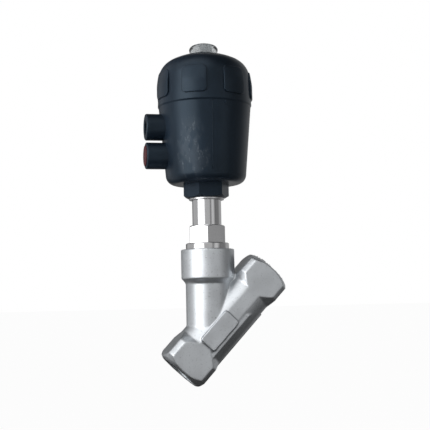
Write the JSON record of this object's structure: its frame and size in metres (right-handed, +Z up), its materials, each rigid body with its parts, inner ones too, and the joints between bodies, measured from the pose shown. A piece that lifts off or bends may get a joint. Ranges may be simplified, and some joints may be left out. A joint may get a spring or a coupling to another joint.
{
  "type": "angle seat valve",
  "caption": "Pneumatic angle seat valve: cast stainless Y body with female threaded ends, polished bonnet, black plastic piston actuator with two air ports and a clear position dome",
  "frame": {"origin": "centre of the inlet mouth, the lower female threaded end, on its face", "axes": "+Z up along the stem and actuator axis, +X towards the outlet in the plane of the stem and flow axes, +Y across; the front looks along -Y"},
  "size_m": [0.1166, 0.0806, 0.2874],
  "materials": {
    "cast_stainless": "bead-blasted investment casting, satin",
    "polished_stainless": "turned and polished stainless steel",
    "machined_steel": "fine turned stainless steel",
    "spring_steel": "drawn spring wire",
    "black_plastic": "moulded glass-filled polyamide, satin",
    "clear_plastic": "clear moulded plastic",
    "indicator_plastic": "pale grey moulded plastic",
    "red_plastic": "soft moulded polyethylene, dull dark red",
    "ptfe": "filled PTFE",
    "rubber": "fluoroelastomer"
  },
  "bodies": {
    "body": {"valve_body": "cast_stainless", "bonnet": "polished_stainless", "bonnet_gasket": "ptfe", "guide_bush": "ptfe", "packing_spring": "spring_steel", "packing_support": "machined_steel", "packing_rings": "ptfe", "gland": "machined_steel", "shaft_seal": "rubber", "circlip": "spring_steel", "base_washer": "machined_steel"},
    "actuator": {"actuator_housing": "black_plastic", "actuator_cap": "black_plastic", "cap_seal": "rubber", "neck_seal": "rubber", "sight_dome": "clear_plastic", "outer_spring": "spring_steel", "inner_spring": "spring_steel"},
    "stem": {"spindle": "machined_steel", "piston": "black_plastic", "piston_seal": "rubber", "piston_guide": "ptfe", "piston_washer": "machined_steel", "piston_nut": "machined_steel", "indicator": "indicator_plastic"},
    "plug": {"plug_disc": "machined_steel", "seat_seal": "ptfe", "seal_washer": "machined_steel", "plug_nut": "machined_steel", "plug_pins": "machined_steel"},
    "dust_plug": {"port_plug": "red_plastic"}
  },
  "joints": [
    {"name": "actuator_swivel", "type": "hinge", "parent": "body", "child": "actuator", "pos_m": [0.02605, 0, 0.15454], "axis": [0, 0, 1], "continuous": true},
    {"name": "stem_slide", "type": "slide", "parent": "actuator", "child": "stem", "axis": [0, 0, 1], "range_m": [0, 0.012], "stiffness_N_per_m": 12000, "springref_m": -0.015, "deforming": ["outer_spring", "inner_spring"]},
    {"name": "plug_spin", "type": "hinge", "parent": "stem", "child": "plug", "pos_m": [0.02605, 0, 0.04594], "axis": [0, 0, 1], "continuous": true},
    {"name": "dust_plug_pull", "type": "slide", "parent": "actuator", "child": "dust_plug", "axis": [-1, 0, 0], "range_m": [0, 0.02]}
  ]
}
